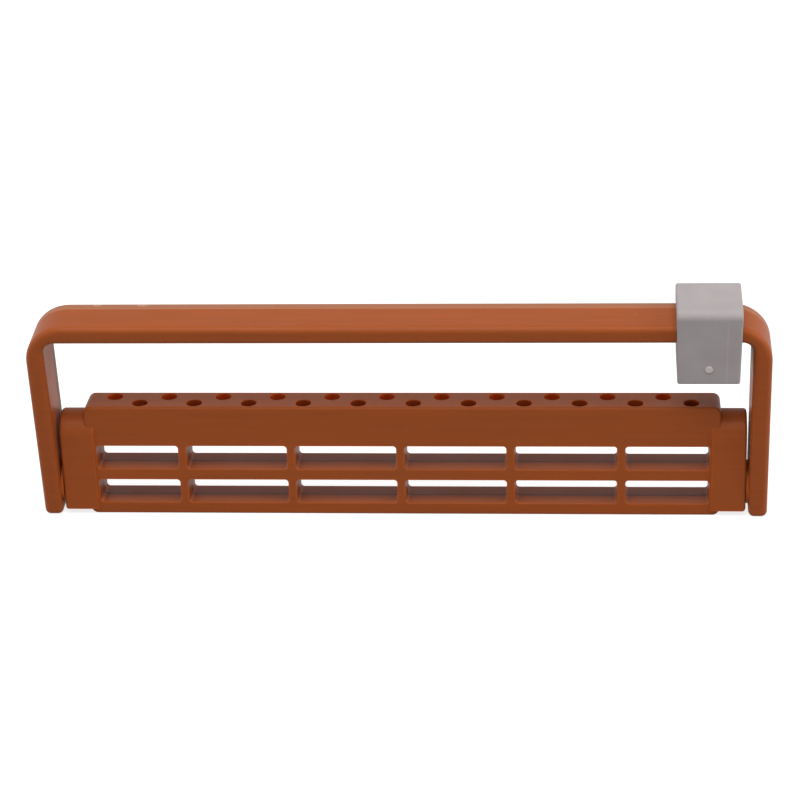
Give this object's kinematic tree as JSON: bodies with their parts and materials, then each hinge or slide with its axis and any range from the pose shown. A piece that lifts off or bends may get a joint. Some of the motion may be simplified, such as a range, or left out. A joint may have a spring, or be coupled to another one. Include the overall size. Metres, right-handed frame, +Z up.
{
  "type": "dental bur block",
  "caption": "Slotted moulded block that holds staggered rows of dental burs upright, with a hinged guard bar over them and a sliding stop on the bar.",
  "frame": {"origin": "centre of the block's base, on the face it stands on", "axes": "+X along the block to the end where the stop is parked, +Y to its back, +Z up out of the bur holes"},
  "size_m": [0.1194, 0.014, 0.0394],
  "materials": {
    "brown_polymer": "satin",
    "guard_polymer": "satin",
    "grey_polymer": "satin"
  },
  "bodies": {
    "block": {"block": "brown_polymer"},
    "guard": {"guard": "guard_polymer"},
    "stop": {"stop": "grey_polymer"}
  },
  "joints": [
    {"name": "guard_swing", "type": "hinge", "parent": "block", "child": "guard", "pos_m": [0, 0, 0.00475], "axis": [1, 0, 0], "range_deg": [-93.5, 80.5]},
    {"name": "stop_slide", "type": "slide", "parent": "guard", "child": "stop", "axis": [1, 0, 0], "range_m": [-0.09935, 0]}
  ]
}
